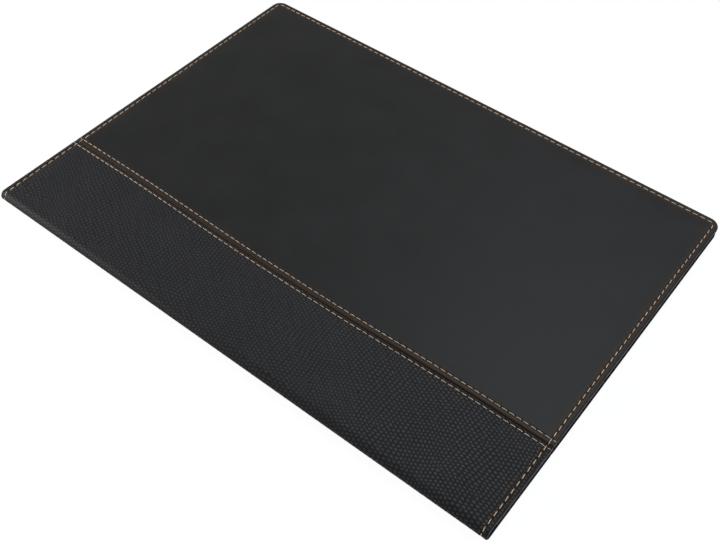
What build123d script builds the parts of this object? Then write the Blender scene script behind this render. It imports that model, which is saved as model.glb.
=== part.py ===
"""Menu cover for single sheets: two padded leather covers joined by a rounded, flexible spine.

Everything is in millimetres, with the closed cover lying on its back: +X from the spine to the fore
edge, +Y from the bottom edge to the top edge, +Z up. The origin is the centre of the footprint, on the
surface that the cover lies on. The back cover is built layer by layer from that surface upwards. It is
the same above and below its middle, so the front cover is the back cover turned over.
"""

import os
from math import cos, degrees, pi, radians, sin

from build123d import *

# Closed size
cover_width = 240.0  # outside of the spine to the fore edge
cover_height = 330.0
page_gap = 1.6  # room left for the pages between the two linings
corner_radius = 6.5

# Thickness of each layer, from the outside of a cover inwards
leather = 0.7
padding = 0.5
board = 1.0
lining = 0.3
pocket_film = 0.2
binding_tape = 0.2

# Leather work
turned_edge_radius = 1.1
turn_in_bevel = 0.4  # where the leather turns in, pressed flatter than on the outside
turn_in_width = 12.0
turn_in_corner_radius = 1.0  # of the opening that the turn-ins leave
seam_from_spine = 55.4  # outside of the spine to the seam between the two leathers
seam_allowance = 7.0
seam_edge_radius = 0.35
board_setback = 3.5  # where the spine starts to curve, to the board's edge
hinge_strip_overlap = 12.5  # how far the inner hinge strip lies on the board
fold_gap = 0.1  # between the spine's middle and either cover, at each fold
layer_clearance = 0.1  # round the pieces that lie inside the turned leather

# Lining and pockets
lining_inset = 1.5
lining_spine_inset = 8.0  # where the spine starts to curve, to the lining's edge
pocket_inset = 2.0
pocket_spine_inset = 14.0  # where the spine starts to curve, to the pocket's open mouth
pocket_corner_radius = 4.5
binding_width = 7.0
binding_lip = 0.3
binding_end_gap = 1.6  # the binding's ends to the edge stitching

# Stitching
edge_stitch_inset = 3.2
edge_stitch_pitch = 4.65  # along the top and bottom edges
fore_stitch_pitch = 4.47  # along the fore edge
edge_stitch_length = 3.5
edge_groove_width = 1.5
seam_row_smooth = 3.2  # seam to the row on the smooth leather
seam_row_grained = 2.0  # seam to the row on the grained leather
seam_stitch_pitch = 4.0
seam_stitch_length = 3.0
seam_groove_width = 1.2
seam_end_gap = 0.6  # a seam row's end stitch to the outline, and to the middle of the edge row
row_crossing_gap = 0.3  # widens the gap between stitches where a seam row crosses the edge row
groove_depth = 0.35
thread_width = 0.7
stitch_dive = 0.5  # how much of each end of a stitch slopes into the leather
stitch_slant = 5.0
stitch_sink = 0.05  # how far a stitch stays below the leather around its groove
inner_stitch_height = 0.25

# Heights of the layers in the back cover
board_level = leather + padding
turn_in_level = board_level + board
lining_level = turn_in_level + leather
inside_level = lining_level + lining
film_top_level = inside_level + pocket_film

# Places that follow from the sizes above
closed_thickness = 2 * inside_level + page_gap
spine_radius = closed_thickness / 2
half_height = cover_height / 2
spine_x = -cover_width / 2
fore_x = cover_width / 2
curve_x = spine_x + spine_radius
seam_x = spine_x + seam_from_spine
board_x = curve_x + board_setback
strip_end_x = board_x + hinge_strip_overlap
stitch_height = groove_depth - stitch_sink
pocket_mouth_x = curve_x + pocket_spine_inset
strip_half_length = half_height - leather - layer_clearance
overcut = 1.0  # how far a cutting shape runs past what it cuts

# Each fold turns about the line that lets the spine's leather unroll at its true length
leather_mid_radius = spine_radius - leather / 2
fold_x = curve_x - leather_mid_radius * pi / 4
fold_z = leather / 2 + leather_mid_radius * (1 - pi / 4)
fold_angle = 45.0


def outline(inset, spine_edge, radius=None):
    """A cover's flat outline with its two fore corners rounded."""
    right = fore_x - inset
    sheet = Pos((spine_edge + right) / 2, 0) * Rectangle(right - spine_edge, cover_height - 2 * inset)
    corners = sheet.vertices().group_by(Axis.X)[-1]
    return fillet(corners, radius=corner_radius - inset if radius is None else radius)


def slab(inset, spine_edge, low, high, radius=None):
    """A layer of that outline between two heights."""
    return extrude(Pos(0, 0, low) * outline(inset, spine_edge, radius), amount=high - low)


def strip(left, right, half_length, low, high):
    """A straight strip along the spine direction."""
    middle = Pos((left + right) / 2, 0, (low + high) / 2)
    return middle * Box(right - left, 2 * half_length, high - low)


def on_front(piece):
    """The front cover's copy of a piece of the back cover, which is the back cover turned over."""
    return Pos(0, 0, closed_thickness) * Rot(180, 0, 0) * piece


def spine_roll(outer_radius, half_length):
    """A round bar along the middle of the spine's curve."""
    return Pos(curve_x, 0, spine_radius) * Rot(90, 0, 0) * Cylinder(outer_radius, 2 * half_length)


def spine_sector(tube, start, end):
    """The part of a tube round the spine between two angles, counted from straight down towards the spine."""
    reach = 2 * spine_radius
    far = [(curve_x - reach * sin(radians(a)), spine_radius - reach * cos(radians(a))) for a in (start, end)]
    wedge = Polygon((curve_x, spine_radius), *far, align=None)
    prism = extrude(Plane.XZ * wedge, amount=cover_height, both=True)
    return tube & prism


def edge_groove(spine_edge):
    """The groove that the stitches along a cover's three free edges are pulled into."""
    outer = slab(edge_stitch_inset - edge_groove_width / 2, spine_edge, 0, groove_depth)
    inner = slab(edge_stitch_inset + edge_groove_width / 2, spine_edge - overcut, 0, groove_depth)
    return outer - inner


def seam_groove(row_x):
    """The groove of one stitch row beside the seam."""
    half_width = seam_groove_width / 2
    return strip(row_x - half_width, row_x + half_width, half_height, 0, groove_depth)


def free_edges(body, level):
    """A layer's edges at its lowest or highest level, apart from the one along the spine."""
    return body.edges().group_by(Axis.Z)[level].filter_by(lambda edge: edge.center().X > curve_x)


def turned_shell():
    """The back cover's whole leather, turned in over the board along its three free edges."""
    body = slab(0, curve_x, 0, lining_level)
    body = fillet(free_edges(body, 0), radius=turned_edge_radius)
    body = chamfer(free_edges(body, -1), length=turn_in_bevel)
    body -= slab(leather, curve_x - overcut, leather, turn_in_level)
    body -= slab(turn_in_width, strip_end_x, turn_in_level, lining_level, radius=turn_in_corner_radius)
    # The hinge strip takes the place of the turn-in next to the spine, and past the board there is none
    start_x = curve_x - overcut
    body -= strip(start_x, strip_end_x + layer_clearance, half_height - leather, leather, lining_level)
    body -= strip(start_x, board_x, half_height + overcut, leather, lining_level)
    return body - edge_groove(start_x)


def seam_fold(left, right):
    """The seam allowance that is turned under a leather's edge."""
    return strip(left, right, strip_half_length, leather, board_level)


def seam_rounding():
    """What is taken off both leathers' outer edges along the seam to leave them rounded."""
    radius = seam_edge_radius
    notch = Rectangle(2 * radius, radius, align=(Align.CENTER, Align.MIN))
    for side in (-radius, radius):
        notch -= Pos(side, radius) * Circle(radius)
    return extrude(Plane.XZ.offset(-half_height) * Pos(seam_x, 0) * notch, amount=cover_height)


def smooth_panel():
    """Smooth leather, from the seam to the fore edge."""
    shell = turned_shell()
    panel = shell & strip(seam_x, fore_x, half_height, 0, lining_level)
    panel += seam_fold(seam_x, seam_x + seam_allowance)
    return panel - seam_rounding() - seam_groove(seam_x + seam_row_smooth)


def spine_leather_tube():
    """The leather round the whole of the spine, with a stitch groove near each end."""
    roll = spine_roll(spine_radius, half_height)
    roll = fillet(roll.edges().filter_by(GeomType.CIRCLE), radius=turned_edge_radius)
    tube = roll - spine_roll(spine_radius - leather, half_height + overcut)
    ring = spine_roll(spine_radius + overcut, edge_groove_width / 2)
    ring -= spine_roll(spine_radius - groove_depth, edge_groove_width)
    for end in (-1, 1):
        tube -= Pos(0, end * (half_height - edge_stitch_inset), 0) * ring
    return tube


def grained_panel():
    """Grained leather, from the seam towards the spine and round it as far as the fold."""
    shell = turned_shell()
    panel = shell & strip(curve_x, seam_x, half_height, 0, lining_level)
    panel += seam_fold(seam_x - seam_allowance, seam_x)
    panel = panel - seam_rounding() - seam_groove(seam_x - seam_row_grained)
    return panel + spine_sector(spine_leather_tube(), 0, fold_angle)


def between_folds(tube):
    """The middle of a tube round the spine, clear of the folds at both covers."""
    start = fold_angle + degrees(fold_gap / spine_radius)
    return spine_sector(tube, start, 180 - start)


def hinge_tube():
    """The inner hinge strip round the whole of the spine."""
    outside = spine_radius - leather
    return spine_roll(outside, strip_half_length) - spine_roll(outside - leather, half_height)


def hinge_strip():
    """Leather strip inside the spine, from the fold down the gutter and up over the board's edge."""
    riser_x = board_x - layer_clearance
    gutter = strip(curve_x, riser_x, strip_half_length, leather, 2 * leather)
    riser = strip(riser_x - leather, riser_x, strip_half_length, leather, lining_level)
    top = strip(riser_x - leather, strip_end_x, strip_half_length, turn_in_level, lining_level)
    return gutter + riser + top + spine_sector(hinge_tube(), 0, fold_angle)


def padding_sheets():
    """Foam under the leather, in two sheets either side of the seam's turned-under allowances."""
    sheet = slab(leather + layer_clearance, board_x, leather, board_level)
    free = seam_allowance + layer_clearance
    return sheet - strip(seam_x - free, seam_x + free, half_height, leather, board_level)


def stiffener():
    """Board that stiffens a cover."""
    return slab(leather + layer_clearance, board_x, board_level, turn_in_level)


def infill():
    """Card that fills the space between the turn-ins, so that the lining lies flat."""
    inset = turn_in_width + layer_clearance
    start_x = strip_end_x + layer_clearance
    return slab(inset, start_x, turn_in_level, lining_level, radius=turn_in_corner_radius)


def lining_sheet():
    """Textile lining over the turn-ins and the hinge strip's edge."""
    return slab(lining_inset, curve_x + lining_spine_inset, lining_level, inside_level)


def pocket_sheet():
    """Clear pocket, caught by the edge stitching on three sides and open towards the spine."""
    return slab(pocket_inset, pocket_mouth_x, inside_level, film_top_level, radius=pocket_corner_radius)


def pocket_binding():
    """Tape that is turned over the pocket's mouth."""
    half_length = half_height - edge_stitch_inset - binding_end_gap
    top = film_top_level + binding_tape
    face = strip(pocket_mouth_x, pocket_mouth_x + binding_width, half_length, film_top_level, top)
    return face + strip(pocket_mouth_x - binding_lip, pocket_mouth_x, half_length, inside_level, top)


def stitch(length, height):
    """One stitch: a ridge of thread that stands on the leather, points down and dives in at both ends."""
    ridge_y = thread_width / 2
    ridge = Wedge(length, height, thread_width, stitch_dive, ridge_y, length - stitch_dive, ridge_y)
    return Pos(0, 0, -height / 2) * Rot(-90, 0, 0) * ridge


def stitches_along(path, runs, one, level, slant):
    """Separate stitches, each laid as a chord of the path, in runs that each have a length and a pitch."""
    half_chord = 0.5 * one.bounding_box().size.X / path.length
    laid = []
    run_start = 0.0
    for run_length, pitch in runs:
        count = round(run_length / pitch)
        for index in range(count):
            middle = (run_start + (index + 0.5) * run_length / count) / path.length
            start, end = path @ (middle - half_chord), path @ (middle + half_chord)
            direction = Axis(start, end - start).direction
            heading = direction.get_signed_angle(Vector(1, 0, 0), Vector(0, 0, -1))
            centre = (start + end) / 2
            laid.append(Pos(centre.X, centre.Y, level) * Rot(0, 0, heading + slant) * one)
        run_start += run_length
    return laid


def edge_path(spine_edge):
    """The line of the stitching along a cover's three free edges."""
    right = fore_x - edge_stitch_inset
    top = half_height - edge_stitch_inset
    corners = [(spine_edge, -top), (right, -top), (right, top), (spine_edge, top)]
    return FilletPolyline(*corners, radius=corner_radius - edge_stitch_inset)


def edge_runs(spine_edge):
    """The edge stitching's three runs, which meet at a needle hole in the middle of each corner."""
    radius = corner_radius - edge_stitch_inset
    to_corner = edge_stitch_inset + radius - radius * pi / 4
    side = fore_x - to_corner - spine_edge
    fore = 2 * (half_height - to_corner)
    return [(side, edge_stitch_pitch), (fore, fore_stitch_pitch), (side, edge_stitch_pitch)]


def edge_stitches():
    """Stitches on the outside of a cover, and the one at each end that follows the spine's curve."""
    one = stitch(edge_stitch_length, stitch_height)
    laid = stitches_along(edge_path(curve_x), edge_runs(curve_x), one, groove_depth, stitch_slant)
    return laid + spine_stitches(fold_angle / 2, edge_stitch_length / 2)


def spine_stitches(angle, length):
    """A stitch near each end of the spine, standing in its groove at that angle round the curve."""
    one = stitch(length, stitch_height)
    radius = spine_radius - groove_depth
    x = curve_x - radius * sin(radians(angle))
    z = spine_radius - radius * cos(radians(angle))
    ends = (half_height - edge_stitch_inset, edge_stitch_inset - half_height)
    return [Pos(x, y, z) * Rot(0, angle, 0) * one for y in ends]


def inner_edge_stitches():
    """The same seam seen from inside, on the pocket."""
    one = Rot(180, 0, 0) * stitch(edge_stitch_length, inner_stitch_height)
    path = edge_path(pocket_mouth_x)
    return stitches_along(path, edge_runs(pocket_mouth_x), one, film_top_level, stitch_slant)


def seam_stitches(row_x):
    """One row of stitches beside the seam, with a short one at each end past the edge stitching."""
    path_end = half_height - edge_stitch_inset - row_crossing_gap
    path = Line((row_x, -path_end), (row_x, path_end))
    one = stitch(seam_stitch_length, stitch_height)
    laid = stitches_along(path, [(path.length, seam_stitch_pitch)], one, groove_depth, 0)
    short = Rot(0, 0, 90) * stitch(edge_stitch_inset - 2 * seam_end_gap, stitch_height)
    end = half_height - edge_stitch_inset / 2
    return laid + [Pos(row_x, y, groove_depth) * short for y in (-end, end)]


def as_solids(shape):
    """The solids of a piece, whether it is one shape or a list of stitches."""
    return list(shape) if isinstance(shape, list) else shape.solids()


def main():
    cover_layers = {
        "smooth_panel": smooth_panel(),
        "grained_panel": grained_panel(),
        "padding": padding_sheets(),
        "board": stiffener(),
        "infill": infill(),
        "lining": lining_sheet(),
        "hinge_strip": hinge_strip(),
        "pocket": pocket_sheet(),
        "pocket_binding": pocket_binding(),
        "edge_stitches": edge_stitches(),
        "inner_edge_stitches": inner_edge_stitches(),
        "seam_stitches_smooth_side": seam_stitches(seam_x + seam_row_smooth),
        "seam_stitches_grained_side": seam_stitches(seam_x - seam_row_grained),
    }
    pieces = {}
    for name, shape in cover_layers.items():
        solids = as_solids(shape)
        pieces["back_" + name] = solids
        pieces["front_" + name] = [on_front(solid) for solid in solids]
    pieces["spine_leather"] = as_solids(between_folds(spine_leather_tube()))
    pieces["spine_hinge_strip"] = as_solids(between_folds(hinge_tube()))
    pieces["spine_stitches"] = spine_stitches(90, edge_stitch_length)

    os.makedirs("parts", exist_ok=True)
    for name, solids in pieces.items():
        export_step(Compound(children=solids), f"parts/{name}.step")
    print("closed thickness", closed_thickness, "fold axis x and z", round(fold_x, 4), round(fold_z, 4))


main()
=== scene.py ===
"""Looks of the menu cover, worked out in millimetres, as in the part's source, and scaled at the end."""

from math import pi, radians
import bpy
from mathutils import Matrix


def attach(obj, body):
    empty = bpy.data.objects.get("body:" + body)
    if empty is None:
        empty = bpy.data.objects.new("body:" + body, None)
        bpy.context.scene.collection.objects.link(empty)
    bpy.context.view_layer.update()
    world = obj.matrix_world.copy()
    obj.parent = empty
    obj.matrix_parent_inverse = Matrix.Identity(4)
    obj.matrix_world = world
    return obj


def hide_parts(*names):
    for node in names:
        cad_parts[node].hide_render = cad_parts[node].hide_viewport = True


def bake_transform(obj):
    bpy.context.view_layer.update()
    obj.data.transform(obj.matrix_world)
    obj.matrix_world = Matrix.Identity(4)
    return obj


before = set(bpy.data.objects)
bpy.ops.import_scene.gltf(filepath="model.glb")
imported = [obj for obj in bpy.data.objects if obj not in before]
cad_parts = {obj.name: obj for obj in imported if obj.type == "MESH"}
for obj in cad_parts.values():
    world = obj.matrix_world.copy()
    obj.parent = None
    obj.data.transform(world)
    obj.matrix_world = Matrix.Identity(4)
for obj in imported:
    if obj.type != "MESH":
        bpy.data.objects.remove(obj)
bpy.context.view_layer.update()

from types import SimpleNamespace

import bmesh
import bpy
import numpy as np
from mathutils import Matrix, Quaternion, Vector

MM = 0.001
QUARTER = pi / 2  # of a turn
rng = np.random.default_rng(7)
BACK_SHIFT = [400, 0, 0]  # of the back's flat places, so that its materials don't repeat the front's

# The closed cover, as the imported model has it
HALF_HEIGHT = 165.0
FORE_X = 120.0
SEAM_X = -64.6
CURVE_X = -116.0  # where the covers end and the spine starts to curve
BOARD_X = -112.5
SPINE_RADIUS = 4.0
THICKNESS = 8.0
CORNER_RADIUS = 6.5

# Leather work
LEATHER = 0.5
EDGE_RADIUS = 1.1  # of the turn from a cover's face down its side
COVER_DEPTH = 2.9  # from the face to the inside
INNER_RADIUS = 0.8  # of the turn from the side to the inside
TURN_IN = 12.0  # how far the leather reaches in from the cover's edge
TURN_IN_CORNER = 1.5  # least radius of its corners there
BEAD_RADIUS = 0.7  # of the leather's end on the spine, where there is no board to turn over
BEAD_START = 0.5  # from the board's edge, where the turned edge starts to change into the bead
BEAD_BLEND = 2.0
SHOULDER = 0.2  # how far the front's leather sinks where it leaves the board, before the spine's curve
SEAM_RADIUS = 0.95  # of the roll across the seam
SEAM_DROP = 0.6  # and downwards
SEAM_ROLL_LOSS = 0.65  # share of the roll that is lost down the turned edge
SEAM_ROLL_REACH = 2.4  # how far down the edge that takes
SEAM_ALLOWANCE = 6.0
SEAM_ARCH = 2.0  # how far the seam's middle stands nearer to the spine than its ends
SEAM_MIDDLE_SHIFT = -1.3  # of the seam's middle from the straight seam
SEAM_ARCH_REACH = 25.0  # of the arch into the leather beside the seam

# Relief of the leather's face, and where highlight and shade are painted on it
GROOVE = 0.26  # that a row of stitches presses in
NEEDLE_HOLE = 0.25  # below the groove
PUCKER = 0.055  # of the leather beside a stitch
EDGE_SWELL = 0.05  # between the edge and its row of stitches
SEAM_SWELL = 0.16  # between the seam and its row of stitches
CROWN_REACH = 9.0  # from the stitches to where the padded face is at its highest
FRONT_CROWN = 0.30
BACK_HOLLOW = 0.06
HIGHLIGHT_LINE = 1.2  # past the start of the turned edge, where a highlight is painted along it
HIGHLIGHT_WIDTH = 0.28
SHADE_LEAN = 1.05  # in radians, from where shade is painted down the turned edge

# Pressed grain
GRAIN_SEED = 36
GRAIN_PITCH = 2.02  # between the pebbles of a row
GRAIN_ROW_PITCH = 2.1
GRAIN_HEIGHT = 0.15
GRAIN_FAULTS = 70  # where rows split and join
GRAIN_FAULTS_X, GRAIN_FAULTS_Y = (-122, -66), (-160, 160)
GRAIN_STRENGTH = 0.44
GRAIN_STRENGTH_MORE = 0.32  # at the end where it is pressed deepest
GRAIN_DEEPENS_FROM, GRAIN_DEEPENS_OVER = -20, 130
GRAIN_FLOOR = 0.24  # how high the valleys are where the grain is faint

# Stitching
ROW_INSET = 3.2  # of the row along the edge
ROW_SMOOTH = 3.2  # from the seam to its row on the smooth leather
ROW_GRAINED = 2.0  # and to its row on the grained leather
EDGE_PITCH = 4.65  # along the ends of the cover
FORE_PITCH = 4.47
EDGE_STITCH = 3.85  # a stitch's length
STITCH_SLANT = 5.0  # in degrees, of the stitches along the edge
SEAM_PITCH = 4.0
SEAM_STITCH = 3.5
SEAM_END_STITCH = 2.1
SEAM_ROW_GAP = 0.3  # between a whole row beside the seam and the row along the edge
SPINE_STITCH_SHARE = 0.9  # of an edge stitch's length
THREAD_RADIUS = 0.27
SEAM_THREAD_RADIUS = 0.21
PLY_DIP = 0.8  # of the thread's radius, between its plies
END_PINCH = 0.25  # how much narrower a stitch's ends are
STITCH_STEPS = 7  # rings along a stitch
STITCH_TWIST = 50  # in degrees, from one ring to the next
STITCH_UNEVENNESS = 1.2  # in degrees, of a stitch's slant
THREAD_DIVE = 0.55  # how far a stitch's ends go down
INNER_THREAD_DIVE = 0.4
FRONT_THREAD_DEPTH = 0.12  # of the stitches' middles below the cover's face
BACK_THREAD_DEPTH = 0.42
INNER_THREAD_LEVEL = 3.42

# Layers inside a cover: start beside the spine, inset from the three free edges, bottom and top
LINING = (-108, 1.5, 2.9, 3.2)
FILM = (-102, 2.0, 3.21, 3.4)
FOAM = (BOARD_X, 0.8, 0.7, 1.2)
FOAM_GAP = 7.1  # of the foam on either side of the seam

# Strips inside a cover: where the section starts, its first heading, and its runs and bends as (length, turn)
HINGE_ROUND = 2.6  # radius of the hinge strip inside the spine
HINGE_SECTION = ((CURVE_X - HINGE_ROUND, THICKNESS / 2), -QUARTER,
                 [(HINGE_ROUND * QUARTER, QUARTER), (2.0, 0), (0.7 * QUARTER, QUARTER),
                  (0.8 * QUARTER, -QUARTER), (12.5, 0)])
TAPE_SECTION = ((-95, 3.6), pi, [(7.0, 0), (0.3 * QUARTER, QUARTER), (0.1, 0)])
STRIP_CELL = 0.5  # between the grid lines across a strip
RIM_ROUNDING = 0.3  # of a strip's thickness, round the edges of its face
HINGE_SIZE = (sum(length for length, _ in HINGE_SECTION[2]), 164.2, 0.65)  # width, half the length, thickness
TAPE_SIZE = (7.56, 159.9, 0.18)

# The mesh is finer beside turned edges and seams, in three steps, and coarse where the leather is turned in
FINE, FINER, FINEST = 8.4, 4.2, 2.1
PAST_FOLD = 2.2  # from the seam
PAST_SIDE = 4.0  # from the start of a turned edge
FINE_BORDER = 9.0  # of the layers inside

# Lengths along the leather's face
ROLL = EDGE_RADIUS * QUARTER
SIDE = COVER_DEPTH - EDGE_RADIUS - INNER_RADIUS
INNER_ROLL = INNER_RADIUS * QUARTER
EDGE_END = ROLL + SIDE + INNER_ROLL + TURN_IN - INNER_RADIUS
BEAD_END = EDGE_RADIUS - BEAD_RADIUS + pi * BEAD_RADIUS
FLAT_X = FORE_X - EDGE_RADIUS
FLAT_Y = HALF_HEIGHT - EDGE_RADIUS
HALF_WRAP = SPINE_RADIUS * QUARTER
SPINE_MIDDLE = CURVE_X - HALF_WRAP


# Small helpers for numbers

def ease(x):
    """0 below 0, 1 above 1 and smooth between."""
    x = np.clip(x, 0, 1)
    return x * x * (3 - 2 * x)


def ridge(x, width):
    """1 at 0, and almost nothing beyond that width on either side."""
    return np.exp(-(x / width) ** 2)


def rolling(x, y, size, seed, waves=5):
    """Soft rises and hollows of about that size, between -1 and 1."""
    draw = np.random.default_rng(seed)
    angles, phases = draw.uniform(0, pi, waves), draw.uniform(0, 2 * pi, waves)
    shares = draw.uniform(0.7, 1.4, waves)
    total = 0
    for angle, phase, share in zip(angles, phases, shares):
        total = total + np.sin((x * np.cos(angle) + y * np.sin(angle)) * 2 * pi * share / size + phase)
    return total / waves


def follow(u, start, heading, turns):
    """Place and heading along a line of straight runs and bends, given as (length, turn)."""
    x, y, heading = start[0] + 0 * u, start[1] + 0 * u, heading + 0 * u
    for length, turn in turns:
        run = np.clip(u, 0, length)
        turned = turn * run / length
        chord = run * np.sinc(turned / 2 / pi)
        x, y = x + chord * np.cos(heading + turned / 2), y + chord * np.sin(heading + turned / 2)
        u, heading = u - length, heading + turned
    return x, y, heading


# How the flat leather is turned, rolled and bent. Every lean is an angle from straight up.

def turned_over(q):
    """Inset, depth and lean of the face where the leather turns over the board's edge, q past the start."""
    roll = np.clip(q / EDGE_RADIUS, 0, QUARTER)
    inner = np.clip((q - ROLL - SIDE) / INNER_RADIUS, 0, QUARTER)
    under = np.maximum(q - ROLL - SIDE - INNER_ROLL, 0)
    inset = (EDGE_RADIUS - np.minimum(q, 0) - EDGE_RADIUS * np.sin(roll)
             + INNER_RADIUS * (1 - np.cos(inner)) + under)
    depth = EDGE_RADIUS * (1 - np.cos(roll)) + np.clip(q - ROLL, 0, SIDE) + INNER_RADIUS * np.sin(inner)
    return inset, depth, roll + inner


def beaded(q):
    """The same where the leather ends on the spine in a round bead."""
    start = EDGE_RADIUS - BEAD_RADIUS
    turn = np.clip((q - start) / BEAD_RADIUS, 0, pi)
    inset = EDGE_RADIUS - np.minimum(q, start) - BEAD_RADIUS * np.sin(turn)
    return inset, BEAD_RADIUS * (1 - np.cos(turn)), turn


def rolled_under(from_seam):
    """Distance from the seam, depth and lean where the leather is folded under along the seam."""
    turn = np.clip((SEAM_RADIUS - from_seam) / SEAM_RADIUS, 0, pi)
    under = np.maximum(SEAM_RADIUS - from_seam - pi * SEAM_RADIUS, 0)
    distance = np.maximum(from_seam, SEAM_RADIUS) - SEAM_RADIUS * np.sin(turn) + under
    return distance, SEAM_DROP * (1 - np.cos(turn)), turn


def on_outline(u, v, q, inset):
    """Place on the cover's outline at that inset, and the direction outwards."""
    radius = np.maximum(CORNER_RADIUS - inset, np.where(q > 0, TURN_IN_CORNER, 0))
    centre_x, centre_y = FORE_X - inset - radius, HALF_HEIGHT - inset - radius
    at_fore = u - FLAT_X >= np.abs(v) - FLAT_Y
    share_y = (np.abs(v) - centre_y) / np.maximum(FLAT_Y + q - centre_y, 1e-6)
    share_x = (u - centre_x) / np.maximum(FLAT_X + q - centre_x, 1e-6)
    angle = np.where(at_fore, np.clip(share_y, 0, 1) * pi / 4, QUARTER - np.clip(share_x, 0, 1) * pi / 4)
    x = np.where(at_fore | (u > centre_x), centre_x + radius * np.cos(angle), u)
    y = np.where(at_fore & (np.abs(v) <= centre_y), np.abs(v), centre_y + radius * np.sin(angle))
    return x, np.sign(v) * y, np.cos(angle), np.sign(v) * np.sin(angle)


def seam_shift(x, y):
    """How far the seam's arch moves a place towards the fore edge."""
    arch = SEAM_MIDDLE_SHIFT + SEAM_ARCH * ease((np.abs(y) / HALF_HEIGHT - 0.1) / 0.65)
    return arch * ridge(x - SEAM_X, SEAM_ARCH_REACH)


def shoulder(u):
    """How far the front's leather has sunk at a place on its way from the board round the spine."""
    return SHOULDER * ease((BOARD_X + 2.5 - u) / 6) * ease((u - CURVE_X) / 3 + 1)


def round_the_spine(places):
    """Bends what lies past the cover's end round the spine."""
    x, depth = places[:, 0], THICKNESS - places[:, 2]
    angle = np.maximum(CURVE_X - x, 0) / SPINE_RADIUS
    wrapped_x = CURVE_X - (SPINE_RADIUS - depth) * np.sin(angle)
    wrapped_z = THICKNESS - SPINE_RADIUS + (SPINE_RADIUS - depth) * np.cos(angle)
    on_spine = angle > 0
    bent_x, bent_z = np.where(on_spine, wrapped_x, x), np.where(on_spine, wrapped_z, places[:, 2])
    return np.column_stack([bent_x, places[:, 1], bent_z])


# Where the stitches of each row are

ROW_RADIUS = CORNER_RADIUS - ROW_INSET
CORNER_X, CORNER_Y = FORE_X - CORNER_RADIUS, HALF_HEIGHT - CORNER_RADIUS
BOTTOM_RUN = CORNER_X - CURVE_X
CORNER_RUN = ROW_RADIUS * QUARTER
EDGE_ROW = 2 * BOTTOM_RUN + 2 * CORNER_RUN + 2 * CORNER_Y
TO_CORNER = BOTTOM_RUN + CORNER_RUN / 2  # a hole comes at the middle of each corner
ROW_MARKS = np.array([0, TO_CORNER, EDGE_ROW - TO_CORNER, EDGE_ROW])
END_COUNT, FORE_COUNT = round(TO_CORNER / EDGE_PITCH), round((EDGE_ROW - 2 * TO_CORNER) / FORE_PITCH)
STITCH_MARKS = np.cumsum([0, END_COUNT, FORE_COUNT, END_COUNT])
# The edge row starts and ends one stitch past the free edges
EDGE_LINE_START = (CURVE_X - EDGE_PITCH, ROW_INSET - HALF_HEIGHT)
EDGE_LINE = [(BOTTOM_RUN + EDGE_PITCH, 0), (CORNER_RUN, QUARTER), (2 * CORNER_Y, 0), (CORNER_RUN, QUARTER),
             (BOTTOM_RUN + EDGE_PITCH, 0)]
SEAM_ROW_END = HALF_HEIGHT - ROW_INSET - SEAM_ROW_GAP
SEAM_STEP = 2 * SEAM_ROW_END / round(2 * SEAM_ROW_END / SEAM_PITCH)


def along_edge_row(x, y, at_fore):
    """How far along the edge row a place on the leather is, from where the row leaves the spine."""
    turned = np.arctan2(np.abs(y) - CORNER_Y, np.maximum(x - CORNER_X, 1e-6))
    in_corner = (x > CORNER_X) & (np.abs(y) > CORNER_Y)
    run = np.where(at_fore, BOTTOM_RUN + CORNER_RUN + CORNER_Y - np.abs(y), x - CURVE_X)
    run = np.where(in_corner, BOTTOM_RUN + ROW_RADIUS * (QUARTER - turned), run)
    return np.where(y < 0, run, EDGE_ROW - run)


def edge_stitch_number(run):
    """How many stitches come before a place along the edge row."""
    past_ends = np.minimum(run, 0) + np.maximum(run - EDGE_ROW, 0)
    return np.interp(run, ROW_MARKS, STITCH_MARKS) + past_ends / EDGE_PITCH


def stitch_marks(distance, number):
    """What a row of stitches does to the leather: a groove, needle holes, and puckers beside the stitches."""
    wave = np.cos(2 * pi * number)
    holes = ((1 + wave) / 2) ** 6
    groove = -GROOVE * ridge(distance, 0.5) - NEEDLE_HOLE * holes * ridge(distance, 0.45)
    pucker = PUCKER * wave * ridge(np.abs(distance) - 1.0, 0.9)
    return groove + pucker


def pebbles(u, v, seed):
    """Round grain in wavy, staggered rows with faults here and there, from 0 in the valleys to 1 on top."""
    u2 = u + 0.9 * rolling(u, v, 34, seed) + 0.4 * rolling(u, v, 8, seed + 1, 9)
    v2 = v + 3.0 * rolling(u, v, 56, seed + 2) + 0.6 * rolling(u, v, 10, seed + 3, 9)
    across, along = 2 * pi * u2 / GRAIN_PITCH, pi * v2 / GRAIN_ROW_PITCH
    draw = np.random.default_rng(seed + 4)
    for _ in range(GRAIN_FAULTS):
        turn = np.arctan2(v - draw.uniform(*GRAIN_FAULTS_Y), u - draw.uniform(*GRAIN_FAULTS_X)) / 2
        across = across + draw.choice([-1, 1]) * turn
        along = along + draw.choice([-1, 1]) * turn
    lift = (2 * np.cos(across) * np.cos(along) + np.cos(2 * along)) / 3
    return np.clip((lift + 0.24 + 0.22 * rolling(u, v, 6, seed + 6, 9)) / 1.05, 0, 1)


# Turning a flat blank into a piece of the cover

def graded(*runs):
    """Grid lines from runs of (start, end, how many faces)."""
    lines = [np.linspace(start, end, count, endpoint=False) for start, end, count in runs]
    return np.concatenate(lines + [[runs[-1][1]]])


def blank(across, along, thickness, *cut_aways):
    """A flat, closed sheet with grid lines at those places, its face at height 0, less what is cut away."""
    bm = bmesh.new()
    bmesh.ops.create_grid(bm, x_segments=len(across) - 1, y_segments=len(along) - 1, size=1)
    for vert in bm.verts:
        vert.co.x = across[round((vert.co.x + 1) / 2 * (len(across) - 1))]
        vert.co.y = along[round((vert.co.y + 1) / 2 * (len(along) - 1))]
    for unwanted in cut_aways:
        cut_away(bm, unwanted)
    thicken(bm, thickness)
    return bm


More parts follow.
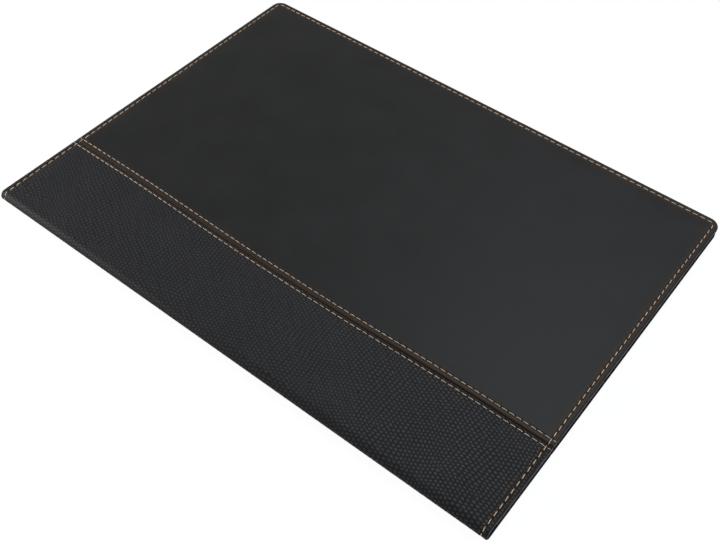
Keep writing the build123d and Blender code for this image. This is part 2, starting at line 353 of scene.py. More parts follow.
def cut_away(bm, unwanted):
    """Removes the faces whose middle is in the unwanted part."""
    faces = [face for face in bm.faces if unwanted(face.calc_center_median())]
    bmesh.ops.delete(bm, geom=faces, context="FACES")


def thicken(bm, thickness):
    """Gives a flat blank its thickness, downwards."""
    made = bmesh.ops.extrude_face_region(bm, geom=bm.faces[:])
    lower = [part for part in made["geom"] if isinstance(part, bmesh.types.BMVert)]
    bmesh.ops.translate(bm, verts=lower, vec=(0, 0, -thickness))
    bmesh.ops.recalc_face_normals(bm, faces=bm.faces[:])


def refine(bm, wanted):
    """Halves the size of the upper faces in the wanted part."""
    edges = [edge for edge in bm.edges
             if edge.verts[0].co.z == 0 and edge.verts[1].co.z == 0
             and wanted(edge.verts[0].co) and wanted(edge.verts[1].co)]
    bmesh.ops.subdivide_edges(bm, edges=edges, cuts=1, use_grid_fill=True)


def to_mesh(bm, name):
    """The finished mesh, and its vertices' places as rows of an array."""
    mesh = bpy.data.meshes.new(name)
    bm.to_mesh(mesh)
    bm.free()
    places = np.empty(len(mesh.vertices) * 3)
    mesh.vertices.foreach_get("co", places)
    return mesh, places.reshape(-1, 3)


def set_places(mesh, places):
    """Moves a mesh's vertices to places in millimetres."""
    mesh.vertices.foreach_set("co", (places * MM).astype(np.float32).ravel())
    mesh.update()


def add_uv(mesh, places):
    """Keeps the flat blank's places as the mesh's own UV map, in metres."""
    corners = np.empty(len(mesh.loops), int)
    mesh.loops.foreach_get("vertex_index", corners)
    layer = mesh.uv_layers.new(name="flat")
    layer.uv.foreach_set("vector", (places[corners, :2] * MM).astype(np.float32).ravel())


def add_values(mesh, name, values):
    """Stores one number for each vertex for a material to read."""
    mesh.attributes.new(name, "FLOAT", "POINT").data.foreach_set("value", values.astype(np.float32))


def turned_over_to_back(places):
    """Places on the front cover turned over to the back cover, or the other way."""
    return np.column_stack([places[:, 0], -places[:, 1], THICKNESS - places[:, 2]])


def show(mesh, name, material, replaced, body=None, sharp=40):
    """Makes a piece of a mesh and hides the parts of the model that it stands in for."""
    piece = bpy.data.objects.new(name, mesh)
    bpy.context.scene.collection.objects.link(piece)
    mesh.materials.append(material)
    mesh.shade_smooth()
    mesh.set_sharp_from_angle(angle=radians(sharp))
    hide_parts(*replaced)
    if body:
        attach(piece, body)
    return piece


# Leather panels

def lay_out(flat, side):
    """Where a blank's places lie on the turned edges and the seam's roll, before any relief."""
    u, v, _ = flat.T
    at = SimpleNamespace(u=u, v=v, side=side)
    at.q = np.maximum(u - FLAT_X, np.abs(v) - FLAT_Y)  # how far past the start of the nearest turned edge
    at.at_fore = u - FLAT_X >= np.abs(v) - FLAT_Y
    at.from_seam = side * (u - SEAM_X)
    at.row = ROW_SMOOTH if side > 0 else ROW_GRAINED  # how far the row beside the seam is from it
    at.face = ease(-0.2 - at.q)  # 1 on the face and 0 where it turns over
    at.on_spine = ease((CURVE_X - u) / 2)  # 0 on the cover and 1 on the spine

    bead = ease((BOARD_X + BEAD_START - u) / BEAD_BLEND)
    at.inset, depth, at.lean = ((1 - bead) * board + bead * end
                                for board, end in zip(turned_over(at.q), beaded(at.q)))
    seam_distance, seam_depth, seam_lean = rolled_under(at.from_seam)
    fade = 1 - SEAM_ROLL_LOSS * ease(at.q / SEAM_ROLL_REACH)
    across = np.where(at.from_seam < 2, SEAM_X + side * seam_distance, u)
    at.x, at.y, out_x, out_y = on_outline(across, v, at.q, at.inset)
    edge_normal = np.column_stack([out_x * np.sin(at.lean), out_y * np.sin(at.lean), np.cos(at.lean)])
    at.normal = edge_normal * np.cos(seam_lean * fade)[:, None]
    at.normal[:, 0] -= side * np.sin(seam_lean * fade)
    at.place = np.column_stack([at.x, at.y, THICKNESS - depth]) - edge_normal * (seam_depth * fade)[:, None]
    return at


def crown(at, is_front, seed):
    """How far the padded face stands out between the stitches, on the front, or sinks in, on the back."""
    from_rows = ease((at.from_seam - at.row) / CROWN_REACH) * ease((at.inset - ROW_INSET) / CROWN_REACH)
    on_cover = 1 - ease((CURVE_X - at.u) / HALF_WRAP)  # both leathers meet flush in the spine's middle
    open_face = from_rows * at.face * on_cover
    if is_front:
        wide, small = rolling(at.u, at.v, 95, seed), rolling(at.u, at.v, 34, seed + 1)
        return open_face * (FRONT_CROWN + 0.10 * wide + 0.05 * small)
    return -open_face * (BACK_HOLLOW + 0.05 * rolling(at.u, at.v, 80, seed))


def grain_on(at, is_front, seed):
    """Height of the grain from 0 to 1, with almost none beside the stitches and under the seam."""
    calm = (1 - 0.75 * ridge(at.inset - ROW_INSET, 0.8) - 0.75 * ridge(at.from_seam - at.row, 0.8)
            - 0.35 * ease(ROW_INSET - at.inset))
    along = at.v if is_front else -at.v  # one length of leather, so its grain runs on round the spine
    at_end = ease((GRAIN_DEEPENS_FROM - along) / GRAIN_DEEPENS_OVER)
    on_bend = ease((CURVE_X + 0.5 - at.u) / 3)  # the grain is stretched flatter round the spine
    strength = (GRAIN_STRENGTH + GRAIN_STRENGTH_MORE * at_end) * (1 - 0.1 * on_bend)
    grain = pebbles(at.u, along, seed) ** (0.55 + 0.35 * at_end) * strength * np.clip(calm, 0, 1)
    grain = grain * ease((at.from_seam - 0.3) / 1.2) * ease((5.5 - at.q) / 2)
    return grain + GRAIN_FLOOR * (1 - strength) * (1 - on_bend)


def relief_of(at, grain, is_front, seed):
    """How far each place on a panel's face stands out."""
    edge_number = edge_stitch_number(along_edge_row(at.x, at.y, at.at_fore))
    relief = stitch_marks(at.inset - ROW_INSET, edge_number)
    relief = relief * ease((1.5 - at.q) / 1.5) * (1 - 0.8 * at.on_spine)
    relief += stitch_marks(at.from_seam - at.row, (at.v + SEAM_ROW_END) / SEAM_STEP) * ease((0.6 - at.q) / 2)
    relief += EDGE_SWELL * np.sin(pi * np.clip(at.inset / ROW_INSET, 0, 1)) * at.face * (1 - at.on_spine)
    relief += SEAM_SWELL * np.sin(pi * np.clip(at.from_seam / at.row, 0, 1) ** 0.7) * at.face
    relief += crown(at, is_front, seed)
    if at.side < 0:
        sunk = ease((CURVE_X - at.u) / 4) if is_front else 1  # the front's grain stands above its face
        relief += GRAIN_HEIGHT * (grain - sunk) * (1 - 0.35 * at.on_spine) * (1 - 0.8 * ease(at.q / 0.8))
    if is_front:
        return relief - shoulder(at.u)
    return np.minimum(relief, 0)  # the back lies on the table


def shape_leather(flat, side, is_front, seed):
    """Turns a blank's edges over, folds its seam under and gives its face its relief."""
    at = lay_out(flat, side)
    grain = grain_on(at, is_front, seed) if side < 0 else np.zeros(len(flat))
    level = flat[:, 2]
    relief = np.where(level == 0, relief_of(at, grain, is_front, seed), 0)
    place = at.place + at.normal * (level + relief)[:, None]
    place[:, 0] += seam_shift(place[:, 0], at.y)

    lean = np.where(at.q > EDGE_END - 1, 0, at.lean)
    near_rows = 1.1 * ridge(at.inset - ROW_INSET, 2.0) + ridge(at.from_seam - 0.5 * at.row, 0.75 * at.row)
    # Where a highlight is painted along the top of the turned edges
    values = {"painted_highlight": np.clip(ridge(at.q - HIGHLIGHT_LINE, HIGHLIGHT_WIDTH), 0, 1),
              "grain": grain,
              # Where shade is painted down the turned sides
              "side": ease((lean - SHADE_LEAN) / 0.4),
              # Shade painted in the fold of the seam, stronger towards the end at negative y
              "seam_shade": ease((1.0 - at.from_seam) / 0.7) * (0.12 + 0.42 * ease((-10 - at.v) / 110)),
              "thread": np.clip(near_rows, 0, 1)}
    return round_the_spine(place), values


def single(base, *steps):
    """Runs of one face each between those steps from a base."""
    return [(base + start, base + end, 1) for start, end in zip(steps, steps[1:])]


def edge_lines(start, end, count):
    """Grid lines across a face and over one turned edge, close together at the stitches and the edge."""
    return [(start, end - FINE, count), *single(end, -FINE, -FINER, -FINEST, 0, BEAD_END, PAST_SIDE),
            (end + PAST_SIDE, end + EDGE_END, 2)]


def both_edges(end, count):
    """The same over two opposite turned edges."""
    lines = graded(*edge_lines(0, end, count))
    return np.concatenate([-lines[:0:-1], lines])


def near_edge(co, reach):
    """Whether a place on a blank is that near to where an edge begins to turn, or just past it."""
    q = max(co.x - FLAT_X, abs(co.y) - FLAT_Y)
    return -reach - 0.01 <= q <= BEAD_END + 0.01


def smooth_blank():
    """The smooth leather's blank, with the part that is folded under along the seam."""
    roll_end = SEAM_X + SEAM_RADIUS - pi * SEAM_RADIUS
    across = graded((roll_end - SEAM_ALLOWANCE, roll_end, 2), (roll_end, SEAM_X + SEAM_RADIUS, 1),
                    *single(SEAM_X, SEAM_RADIUS, PAST_FOLD, FINER, FINE),
                    *edge_lines(SEAM_X + FINE, FLAT_X, 37))
    along = both_edges(FLAT_Y, 35)
    bm = blank(across, along, LEATHER, lambda co: co.x < roll_end and abs(co.y) > FLAT_Y)
    refine(bm, lambda co: True)
    for reach in (FINE, FINER):
        refine(bm, lambda co: near_edge(co, reach) or roll_end - 0.01 <= co.x <= SEAM_X + reach + 0.01)
    return bm


def grained_blank():
    """The grained leather's blank, from the middle of the spine to the seam and under it."""
    roll_end = SEAM_X - SEAM_RADIUS + pi * SEAM_RADIUS
    across = graded((SPINE_MIDDLE, BOARD_X, 3), (BOARD_X, SEAM_X - FINER, 11),
                    *single(SEAM_X, -FINER, -FINEST, -SEAM_RADIUS), (SEAM_X - SEAM_RADIUS, roll_end, 1),
                    (roll_end, roll_end + SEAM_ALLOWANCE, 2))
    along = both_edges(FLAT_Y, 39)
    bm = blank(across, along, LEATHER, lambda co: co.x > roll_end and abs(co.y) > FLAT_Y,
               lambda co: co.x < BOARD_X and abs(co.y) > FLAT_Y + BEAD_END)
    refine(bm, lambda co: True)
    for _ in range(2):
        refine(bm, lambda co: co.x <= roll_end + 0.01 and abs(co.y) <= FLAT_Y + BEAD_END + 0.01)
    return bm


def leather_panel(name, bm, side, is_front, seed, material, replaced, body=None):
    """One panel of a cover's leather: its side is 1 past the seam and -1 between the seam and the spine."""
    mesh, flat = to_mesh(bm, name)
    places, values = shape_leather(flat, side, is_front, seed)
    add_uv(mesh, flat if is_front else flat + BACK_SHIFT)
    for key, numbers in values.items():
        add_values(mesh, key, numbers)
    set_places(mesh, places if is_front else turned_over_to_back(places))
    return show(mesh, name, material, replaced, body, sharp=60)


# Pieces inside a cover, worked out for the back cover, whose inside faces up

def inside_piece(name, mesh, flat, places, is_front, material, replaced, body, sharp=50):
    """Shows a piece of the inside of either cover."""
    add_uv(mesh, flat if is_front else flat + BACK_SHIFT)
    set_places(mesh, turned_over_to_back(places) if is_front else places)
    return show(mesh, name, material, replaced, body, sharp)


def layer(name, span, relief, is_front, material, replaced, body, cell=6.0, gap=None):
    """A flat layer inside the turned edges, with a gap across it where that is asked for."""
    start_x, inset, bottom, top = span
    end_x, end_y = FORE_X - inset, HALF_HEIGHT - inset
    fine_x, fine_y = end_x - FINE_BORDER, end_y - FINE_BORDER
    before_gap = [(start_x, gap[0], 6), (gap[0], gap[1], 1)] if gap else []
    rest_x = gap[1] if gap else start_x
    across = before_gap + [(rest_x, fine_x, round((fine_x - rest_x) / cell)), (fine_x, end_x, 3)]
    up = graded((0, fine_y, round(fine_y / cell)), (fine_y, end_y, 3))
    middle = (gap[0] + gap[1]) / 2 if gap else None
    bm = blank(graded(*across), np.concatenate([-up[:0:-1], up]), top - bottom,
               lambda co: gap is not None and abs(co.x - middle) < 1)
    refine(bm, lambda co: True)
    refine(bm, lambda co: co.x > fine_x - 0.01 or abs(co.y) > fine_y - 0.01)
    mesh, flat = to_mesh(bm, name)
    u, v, level = flat.T
    q = np.maximum(u - FLAT_X, np.abs(v) - FLAT_Y)
    x, y, _, _ = on_outline(u, v, q, EDGE_RADIUS - q)
    lift = np.where(level == 0, relief(x, y, EDGE_RADIUS - q), 0)
    places = np.column_stack([x, y, top + level + lift])
    return inside_piece(name, mesh, flat, places, is_front, material, replaced, body)


def sewn_down(x, y, inset):
    """The lining is pressed down a little under the edge's stitches."""
    return -0.05 * ridge(inset - ROW_INSET, 1)


def slack(seed):
    """The film lies a little wavy away from its stitches."""
    return lambda x, y, inset: ease((inset - 5) / 25) * (0.12 + 0.1 * rolling(x, y, 90, seed)
                                                         + 0.03 * rolling(x, y, 31, seed + 1))


def level_top(x, y, inset):
    """The foam has no relief of its own."""
    return 0 * x


def bent_strip(name, section, size, is_front, material, replaced, body=None):
    """A strip along the spine, its face on the right of the line that its section follows."""
    (start, heading, turns), (width, half_length, thickness) = section, size
    count = max(round(width / STRIP_CELL), 8)
    bm = blank(graded((0, width, count)), graded((-half_length, half_length, 60)), thickness)
    ends = [(edge, edge.verts[0].co, edge.verts[1].co) for edge in bm.edges if edge.calc_face_angle(0) > 1]
    # The edges round the face are rounded over, but the first end stays square
    rim = [edge for edge, one, other in ends if one.z == other.z == 0 and one.x + other.x > 0]
    bmesh.ops.bevel(bm, geom=rim, offset=RIM_ROUNDING * thickness, segments=2, profile=0.5, affect="EDGES",
                    material=-1)
    mesh, flat = to_mesh(bm, name)
    u, v, level = flat.T
    x, z, turned = follow(u, start, heading, turns)
    y = v * np.where(np.cos(heading) < -0.9, -1, 1)
    places = np.column_stack([x + level * np.sin(turned), y, z - level * np.cos(turned)])
    return inside_piece(name, mesh, flat, places, is_front, material, replaced, body)


# Thread

def thread_stitch(length, dive=THREAD_DIVE, radius=THREAD_RADIUS):
    """One stitch of three-ply thread along X, its middle at the origin, diving in at both ends."""
    bm = bmesh.new()
    made = bmesh.ops.create_circle(bm, segments=6, radius=1)
    for index, vert in enumerate(made["verts"]):
        vert.co *= radius * (1 if index % 2 else PLY_DIP)
    bmesh.ops.rotate(bm, verts=bm.verts[:], cent=(0, 0, 0), matrix=Matrix.Rotation(QUARTER, 3, "Y"))
    bmesh.ops.translate(bm, verts=bm.verts[:], vec=(-length / 2, 0, 0))
    edges = bm.edges[:]
    bmesh.ops.contextual_create(bm, geom=edges)
    for _ in range(STITCH_STEPS):
        made = bmesh.ops.extrude_edge_only(bm, edges=edges)["geom"]
        ring = [part for part in made if isinstance(part, bmesh.types.BMVert)]
        edges = [part for part in made if isinstance(part, bmesh.types.BMEdge)]
        bmesh.ops.translate(bm, verts=ring, vec=(length / STITCH_STEPS, 0, 0))
        middle = Vector((ring[0].co.x, 0, 0))
        bmesh.ops.rotate(bm, verts=ring, cent=middle, matrix=Matrix.Rotation(radians(STITCH_TWIST), 3, "X"))
    bmesh.ops.contextual_create(bm, geom=edges)
    for vert in bm.verts:
        out = abs(2 * vert.co.x / length)
        vert.co.z -= dive * out ** 4
        vert.co.y *= 1 - END_PINCH * out ** 4
    bmesh.ops.recalc_face_normals(bm, faces=bm.faces[:])
    return bm


def lay_stitches(name, one, spots):
    """Copies of one stitch at spots of (x, y, z, heading, stretch), as one mesh."""
    bm = bmesh.new()
    pattern = bpy.data.meshes.new(name)
    one.to_mesh(pattern)
    for x, y, z, heading, stretch in spots:
        start = len(bm.verts)
        bm.from_mesh(pattern)
        bm.verts.ensure_lookup_table()
        turn = Matrix.Rotation(heading, 4, "Z")
        laid = Matrix.Translation((x, y, z)) @ turn @ Matrix.Diagonal((stretch, 1, 1, 1))
        bmesh.ops.transform(bm, verts=bm.verts[start:], matrix=laid)
    bpy.data.meshes.remove(pattern)
    return to_mesh(bm, name)


def edge_spots(level, left_out):
    """Where the stitches along the free edges lie, less that many at each end, or more if it is below 0."""
    spots = []
    for number in range(left_out, STITCH_MARKS[-1] - left_out):
        run = float(np.interp(number + 0.5, STITCH_MARKS, ROW_MARKS))
        run += EDGE_PITCH * (min(number + 0.5, 0) + max(number + 0.5 - STITCH_MARKS[-1], 0))
        x, y, heading = follow(run + EDGE_PITCH, EDGE_LINE_START, 0, EDGE_LINE)
        spots.append((x, y, level, heading + radians(STITCH_SLANT + rng.normal(0, STITCH_UNEVENNESS)), 1))
    return spots


def seam_spots(row_x, level):
    """Where one row of stitches beside the seam lies, with a short one at each end past the edge row."""
    count = round(2 * SEAM_ROW_END / SEAM_STEP)
    spots = [(row_x, -SEAM_ROW_END + (index + 0.5) * SEAM_STEP, 1) for index in range(count)]
    end = HALF_HEIGHT - ROW_INSET / 2 + 0.1
    spots += [(row_x, y, SEAM_END_STITCH / SEAM_STITCH) for y in (-end, end)]
    return [(x, y, level, QUARTER + radians(rng.normal(0, STITCH_UNEVENNESS)), stretch)
            for x, y, stretch in spots]


def thread_row(name, mesh_places, is_front, replaced, body=None, arched=True):
    """A row of stitches as a piece, as seen outside a cover."""
    mesh, places = mesh_places
    add_uv(mesh, places)
    if arched:
        places[:, 0] += seam_shift(places[:, 0], places[:, 1])
    if is_front:
        places[:, 2] -= shoulder(places[:, 0])
    places = round_the_spine(places)
    set_places(mesh, places if is_front else turned_over_to_back(places))
    return show(mesh, name, thread, replaced, body, sharp=80)


def inner_thread(name, mesh_places, is_front, replaced, body):
    """The edge row as seen inside a cover."""
    mesh, places = mesh_places
    inside_piece(name, mesh, places, places, is_front, thread, replaced, body, sharp=80)


# Materials

def material(name, roughness, specular, **sockets):
    """A new material and its shader."""
    made = bpy.data.materials.new(name)
    made.use_nodes = True
    shader = made.node_tree.nodes["Principled BSDF"]
    shader.inputs["Roughness"].default_value = roughness
    shader.inputs["Specular IOR Level"].default_value = specular
    for socket, value in sockets.items():
        shader.inputs[socket.replace("_", " ")].default_value = value
    return made, shader


def node(made, kind, inputs=(), **settings):
    """Adds a node, sets its own settings and fills or links its inputs by name or number."""
    added = made.node_tree.nodes.new("ShaderNode" + kind)
    for key, value in settings.items():
        setattr(added, key, value)
    for key, value in dict(inputs).items():
        if isinstance(value, bpy.types.NodeSocket):
            made.node_tree.links.new(value, added.inputs[key])
        else:
            added.inputs[key].default_value = value
    return added


def in_millimetres(made, place):
    """Places in metres as millimetres."""
    return node(made, "Mapping", {"Vector": place, "Scale": (1000, 1000, 1000)}).outputs[0]


def flat_place(made):
    """The piece's own flat UV map, in millimetres."""
    return in_millimetres(made, node(made, "UVMap", uv_map="flat").outputs[0])


def noise(made, place, scale, detail=3.0, roughness=0.55):
    """Soft random patches."""
    inputs = {"Vector": place, "Scale": scale, "Detail": detail, "Roughness": roughness}
    return node(made, "TexNoise", inputs).outputs[0]


def cells(made, place, scale, randomness=1.0, feature="F1"):
    """Distance from the middle, or the border, of random cells."""
    inputs = {"Vector": place, "Scale": scale, "Randomness": randomness}
    return node(made, "TexVoronoi", inputs, feature=feature).outputs["Distance"]


def bands(made, place, scale, distortion, way):
    """Wavy bands across that direction."""
    inputs = {"Vector": place, "Scale": scale, "Distortion": distortion, "Detail": 1.0}
    return node(made, "TexWave", inputs, bands_direction=way).outputs[0]


def ramp(made, factor, low, high, start=0.0, end=1.0):
    """Turns a factor between start and end into a value between low and high."""
    return node(made, "MapRange", {0: factor, 1: start, 2: end, 3: low, 4: high}).outputs[0]


def mixed(made, factor, first, second, blend="MIX"):
    """Mixes two colours by a factor."""
    added = node(made, "Mix", {0: factor}, data_type="RGBA", blend_type=blend)
    for socket, value in ((added.inputs[6], first), (added.inputs[7], second)):
        if isinstance(value, bpy.types.NodeSocket):
            made.node_tree.links.new(value, socket)
        else:
            socket.default_value = value
    return added.outputs[2]


def bumped(made, height, distance, strength=1.0, below=None):
    """Bump of that height in millimetres, on top of another one."""
    inputs = {"Height": height, "Distance": distance * MM, "Strength": strength}
    if below:
        inputs["Normal"] = below
    return node(made, "Bump", inputs).outputs[0]


def link(made, shader, **outputs):
    """Links outputs to the shader's inputs by name."""
    for socket, value in outputs.items():
        made.node_tree.links.new(value, shader.inputs[socket.replace("_", " ")])


def charcoal(level, blue=0.1):
    """A dark grey, with a little blue in it unless it is left out."""
    return (level, level, level * (1 + blue), 1)


def attribute(made, name):
    """A number that the mesh carries at each vertex."""
    return node(made, "Attribute", attribute_name=name).outputs["Fac"]


def times(made, first, second):
    """One number times another."""
    return node(made, "Math", {0: first, 1: second}, operation="MULTIPLY").outputs[0]


def larger(made, first, second):
    """The larger of two numbers."""
    return node(made, "Math", {0: first, 1: second}, operation="MAXIMUM").outputs[0]


def painted_shade_and_duller(made, colour, roughness):
    """The turned sides of a cover and the folded edges in the seam are painted darker, as shade, and made
    duller than its face.
    """
    dark = larger(made, attribute(made, "side"), attribute(made, "seam_shade"))
    # Painted shade: near black where the turned sides and the seam's fold lie in shade; the roughness rises
    # there too
    colour = mixed(made, dark, colour, (0.0025, 0.0025, 0.0026, 1))
    return colour, node(made, "Mix", {0: dark, 2: roughness, 3: 0.85}).outputs[0]


def highlight_and_browning(made, place, colour):
    """Paints a highlight along the top of the turned edges, here and there stronger, and tints the leather
    browner beside the thread.
    """
    share = ramp(made, noise(made, place, 0.12, 4), 0.3, 1.0, 0.35, 0.65)
    browner = times(made, attribute(made, "thread"), 0.85)
    colour = mixed(made, browner, colour, (2.1, 1.35, 0.9, 1), "MULTIPLY")
    # A highlight painted along the top of the turned edges, lighter grey over the dark leather
    return mixed(made, times(made, attribute(made, "painted_highlight"), share), colour, charcoal(0.15))


def smooth_leather_material():
    """Smooth, semi-matt leather with fine pores and soft clouds."""
    made, shader = material("smooth_leather", 0.42, 0.05)
    place = flat_place(made)
    clouds = noise(made, place, 0.035, 4)
    pores = cells(made, place, 1.9, 0.9)
    fine = noise(made, place, 2.6, 4, 0.6)
    colour = mixed(made, ramp(made, clouds, 0, 1, 0.3, 0.7), charcoal(0.01, 0), charcoal(0.0134, 0))
    colour = mixed(made, ramp(made, fine, 0, 0.4, 0.45, 0.75), colour, charcoal(0.018, 0))
    colour = highlight_and_browning(made, place, colour)
    colour, roughness = painted_shade_and_duller(made, colour, ramp(made, clouds, 0.39, 0.44, 0.3, 0.7))
    link(made, shader, Base_Color=colour, Roughness=roughness)
    skin = bumped(made, pores, 0.05, 0.35)
    link(made, shader, Normal=bumped(made, fine, 0.06, 0.5, skin))
    return made


def grained_leather_material():
    """Leather with pressed grain, with shade painted in its valleys and a highlight painted on its tops."""
    made, shader = material("grained_leather", 0.45, 0.1)
    place = flat_place(made)
    grain = attribute(made, "grain")
    clouds = ramp(made, noise(made, place, 0.05, 3), 0, 1, 0.3, 0.7)
    fine = noise(made, place, 3.5, 3)
    # Painted shade in the grain's valleys and painted highlight on its tops: the valleys are near black, the
    # tops lighter than the smooth leather
    valley_shade = mixed(made, clouds, charcoal(0.002), charcoal(0.003))
    top = mixed(made, clouds, charcoal(0.0265), charcoal(0.0345))
    colour = highlight_and_browning(made, place, mixed(made, ramp(made, grain, 0, 1, 0.1, 0.9), valley_shade, top))
    colour, roughness = painted_shade_and_duller(made, colour, ramp(made, grain, 0.7, 0.4))
    link(made, shader, Base_Color=colour, Roughness=roughness)
    link(made, shader, Normal=bumped(made, fine, 0.05, 0.5, bumped(made, grain, 0.12, 0.8)))
    return made


def thread_material():
    """Tan thread, with shade painted between its plies."""
    made, shader = material("thread", 0.7, 0.2)
    place = flat_place(made)
    plies = bands(made, place, 1.3, 1.0, "DIAGONAL")
    patch = noise(made, place, 0.4, 2)
    colour = mixed(made, ramp(made, patch, 0, 1, 0.3, 0.7), (0.39, 0.32, 0.245, 1), (0.52, 0.435, 0.34, 1))
    # Shade painted in the grooves between the plies
    colour = mixed(made, ramp(made, plies, 0.55, 0, 0, 0.4), colour, (0.22, 0.155, 0.105, 1))
    link(made, shader, Base_Color=colour)
    link(made, shader, Normal=bumped(made, plies, 0.08, 0.6))
    return made


def fabric_material(name, threads, low, high, roughness, height):
    """Woven cloth: warp and weft over and under each other, with that many threads to the millimetre."""
    made, shader = material(name, roughness, 0.15)
    place = flat_place(made)
    warp, weft = (bands(made, place, threads * pi / 10, 0.4, way) for way in ("X", "Y"))
    check = node(made, "TexChecker", {"Vector": place, "Scale": threads}).outputs["Fac"]
    weave = node(made, "Mix", {0: check, 2: warp, 3: weft}).outputs[0]
    colour = mixed(made, ramp(made, noise(made, place, 0.15, 4), 0, 0.6, 0.3, 0.7), low, high)
    # Where the weave dips between the threads it takes the low colour, as painted shade
    link(made, shader, Base_Color=mixed(made, weave, low, colour))
    link(made, shader, Normal=bumped(made, weave, height, 0.8))
    return made


def board_material(name, low, high):
    """Pressed grey fibre board or card, flecked and a little uneven."""
    made, shader = material(name, 0.85, 0.15)
    place = in_millimetres(made, node(made, "TexCoord").outputs["Object"])
    fleck = noise(made, place, 1.4, 5, 0.7)
    link(made, shader, Base_Color=mixed(made, ramp(made, fleck, 0, 1, 0.35, 0.65), low, high))
    link(made, shader, Roughness=ramp(made, fleck, 0.8, 0.92), Normal=bumped(made, fleck, 0.05, 0.6))
    return made


def foam_material():
    """Grey foam with open cells."""
    made, shader = material("foam", 0.9, 0.1)
    place = flat_place(made)
    pits = cells(made, place, 2.2)
    link(made, shader, Base_Color=mixed(made, pits, (0.36, 0.36, 0.35, 1), (0.24, 0.24, 0.23, 1)))
    link(made, shader, Normal=bumped(made, pits, 0.15, 0.8))
    return made


def film_material():
    """Clear, glossy film that mirrors more when it is seen edge-on."""
    made, shader = material("clear_film", 0.12, 0.6, Metallic=0.7)
    place = flat_place(made)
    scuffs = noise(made, place, 0.03, 3, 0.5)
    edge_on = node(made, "LayerWeight", {"Blend": 0.25}).outputs["Facing"]
    link(made, shader, Base_Color=mixed(made, scuffs, (0.62, 0.64, 0.66, 1), (0.72, 0.74, 0.75, 1)),
         Roughness=ramp(made, scuffs, 0.08, 0.16, 0.35, 0.7), Alpha=ramp(made, edge_on, 0.02, 0.13),
         Normal=bumped(made, noise(made, place, 0.03, 2), 0.5, 0.4))
    return made


def hinge_leather_material():
    """Plain, matt leather with fine creases."""
    made, shader = material("hinge_leather", 0.6, 0.25)
    place = flat_place(made)
    clouds = noise(made, place, 0.06, 4)
    creases = cells(made, place, 1.1, feature="DISTANCE_TO_EDGE")
    dark, light = (0.013, 0.013, 0.0135, 1), (0.021, 0.021, 0.022, 1)
    colour = mixed(made, ramp(made, clouds, 0, 1, 0.3, 0.7), dark, light)
    link(made, shader, Base_Color=colour, Roughness=ramp(made, clouds, 0.52, 0.68))
    link(made, shader, Normal=bumped(made, ramp(made, creases, 0, 1, 0, 0.25), 0.08, 0.6))
    return made


# Camera, floor and light

def make_camera():
    """The camera that was fitted to the photo."""
    data = bpy.data.cameras.new("camera")
    data.lens = 49.0405
    camera = bpy.data.objects.new("camera", data)
    camera.location = Vector((-306.669, -228.079, 409.086)) * MM
    camera.rotation_mode = "QUATERNION"
    camera.rotation_quaternion = Quaternion((0.84684, 0.30214, -0.159664, -0.40753))
    data.clip_start, data.clip_end = 0.01, 20
    bpy.context.scene.collection.objects.link(camera)
    bpy.context.scene.camera = camera


def seen_or_mirrored(made):
    """1 for what the camera sees, straight or in metal or through film."""
    rays = node(made, "LightPath").outputs
    either = larger(made, rays["Is Camera Ray"], rays["Is Glossy Ray"])
    return larger(made, either, rays["Is Transmission Ray"])


def make_floor():
    """A plain white floor, white where it is seen or mirrored except for part of the object's shadow."""
    bm = bmesh.new()
    bmesh.ops.create_grid(bm, x_segments=1, y_segments=1, size=4)
    mesh = bpy.data.meshes.new("floor")
    bm.to_mesh(mesh)
    bm.free()
    floor = bpy.data.objects.new("floor", mesh)
    floor.location.z = -0.2 * MM
    bpy.context.scene.collection.objects.link(floor)
    made, shader = material("floor", 0.9, 0.1, Base_Color=(0.9, 0.9, 0.9, 1))
    share = times(made, seen_or_mirrored(made), 0.95)
    white = node(made, "Emission", {"Color": (1, 1, 1, 1), "Strength": 1.0}).outputs[0]
    both = node(made, "MixShader", {0: share, 1: shader.outputs[0], 2: white}).outputs[0]
    made.node_tree.links.new(both, made.node_tree.nodes["Material Output"].inputs["Surface"])
    mesh.materials.append(made)


def soft_light(name, place, size, power, colour=(1, 1, 1)):
    """A square area lamp that faces the origin; place and size in metres, power in watts."""
    data = bpy.data.lights.new(name, "AREA")
    data.shape, data.size, data.energy, data.color = "SQUARE", size, power, colour
    lamp = bpy.data.objects.new(name, data)
    lamp.location = place
    lamp.rotation_euler = Vector(place).to_track_quat("Z", "Y").to_euler()
    bpy.context.scene.collection.objects.link(lamp)


def make_light():
    """A world that is white where it is seen or mirrored and faint otherwise, a cool key and three fills."""
    world = bpy.data.worlds.new("world")
    world.use_nodes = True
    bpy.context.scene.world = world
    background = world.node_tree.nodes["Background"]
    world.node_tree.links.new(ramp(world, seen_or_mirrored(world), 0.08, 1.0), background.inputs["Strength"])
    background.inputs["Color"].default_value = (1, 1, 1, 1)
    soft_light("key", (0.63, 0.03, 1.24), 0.6, 15.5, (0.93, 0.965, 1))
    soft_light("left_fill", (-0.5, 0.62, 0.22), 0.35, 2.7)
    soft_light("low_left_fill", (-0.3, 0.36, 0.1), 0.2, 1.7)
    soft_light("near_fill", (-0.35, -0.9, 0.7), 0.6, 8, (0.82, 0.91, 1))


# The two covers

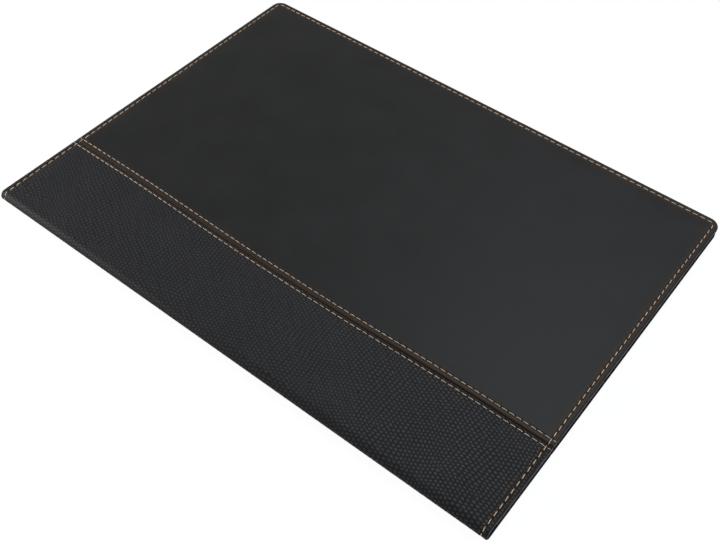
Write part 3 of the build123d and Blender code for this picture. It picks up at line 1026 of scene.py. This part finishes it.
def make_outside(cover, is_front, seed):
    """A cover's leather, and the thread on its outside."""
    body = cover + "_cover"
    smooth = leather_panel(cover + "_smooth_leather", smooth_blank(), 1, is_front, seed, smooth_leather,
                           [cover + "_smooth_panel"], body)
    grained = leather_panel(cover + "_grained_leather", grained_blank(), -1, is_front, GRAIN_SEED,
                            grained_leather, [cover + "_grained_panel", "spine_leather"])
    level = THICKNESS - (FRONT_THREAD_DEPTH if is_front else BACK_THREAD_DEPTH)
    outer_row = lay_stitches("edge", thread_stitch(EDGE_STITCH), edge_spots(level, -1))
    edge_row = thread_row(cover + "_edge_thread", outer_row, is_front, [cover + "_edge_stitches"])
    short = thread_stitch(SEAM_STITCH, radius=SEAM_THREAD_RADIUS)
    for row, row_x in (("smooth_side", SEAM_X + ROW_SMOOTH), ("grained_side", SEAM_X - ROW_GRAINED)):
        stitches = lay_stitches("seam", short, seam_spots(row_x, level))
        thread_row(f"{cover}_seam_thread_{row}", stitches, is_front, [f"{cover}_seam_stitches_{row}"], body)
    return smooth, grained, edge_row


def make_inside(cover, is_front, seed):
    """A cover's lining, pocket, foam and gutter strip, and the thread on its inside."""
    body = cover + "_cover"
    lining = layer(cover + "_lining_cloth", LINING, sewn_down, is_front, lining_cloth,
                   [cover + "_lining"], body)
    film = layer(cover + "_pocket_film", FILM, slack(seed + 3), is_front, clear_film,
                 [cover + "_pocket"], body, cell=4.0)
    padding = layer(cover + "_foam", FOAM, level_top, is_front, foam, [cover + "_padding"], body,
                    gap=(SEAM_X - FOAM_GAP, SEAM_X + FOAM_GAP))
    tape = bent_strip(cover + "_pocket_tape", TAPE_SECTION, TAPE_SIZE, is_front, binding_tape,
                      [cover + "_pocket_binding"], body)
    strip = bent_strip(cover + "_hinge_leather", HINGE_SECTION, HINGE_SIZE, is_front, hinge_leather,
                       [cover + "_hinge_strip", "spine_hinge_strip"])
    stitch = thread_stitch(EDGE_STITCH, INNER_THREAD_DIVE)
    inner_row = lay_stitches("inner", stitch, edge_spots(INNER_THREAD_LEVEL, 4))
    inner_thread(cover + "_inner_thread", inner_row, is_front, [cover + "_inner_edge_stitches"], body)
    return lining, film, padding, tape, strip


bpy.context.scene.view_settings.view_transform = "Standard"
make_camera()
make_floor()
make_light()

smooth_leather = smooth_leather_material()
grained_leather = grained_leather_material()
thread = thread_material()
hinge_leather = hinge_leather_material()
lining_cloth = fabric_material("lining_cloth", 2.2, (0.010, 0.010, 0.011, 1), (0.032, 0.032, 0.034, 1),
                               roughness=0.75, height=0.12)
binding_tape = fabric_material("binding_tape", 3.0, (0.008, 0.008, 0.008, 1), (0.024, 0.024, 0.025, 1),
                               roughness=0.6, height=0.1)
greyboard = board_material("greyboard", (0.24, 0.23, 0.21, 1), (0.34, 0.33, 0.31, 1))
card = board_material("card", (0.40, 0.36, 0.30, 1), (0.48, 0.44, 0.37, 1))
foam = foam_material()
clear_film = film_material()

for cover, is_front, seed in (("front", True, 11), ("back", False, 61)):
    smooth, grained, edge_row = make_outside(cover, is_front, seed)
    lining, film, padding, tape, strip = make_inside(cover, is_front, seed)

    # The pieces that go round the spine have their transforms baked into their meshes
    for piece in (grained, edge_row, strip):
        if is_front:
            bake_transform(piece)
        else:
            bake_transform(piece)

spine_spots = [(SPINE_MIDDLE, y, THICKNESS - FRONT_THREAD_DEPTH, 0, SPINE_STITCH_SHARE)
               for y in (ROW_INSET - HALF_HEIGHT, HALF_HEIGHT - ROW_INSET)]
spine_stitches = lay_stitches("spine", thread_stitch(EDGE_STITCH), spine_spots)
thread_row("spine_thread", spine_stitches, True, ["spine_stitches"], "spine", arched=False)
for side in ("front", "back"):
    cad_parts[side + "_board"].data.materials[0] = greyboard
    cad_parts[side + "_infill"].data.materials[0] = card
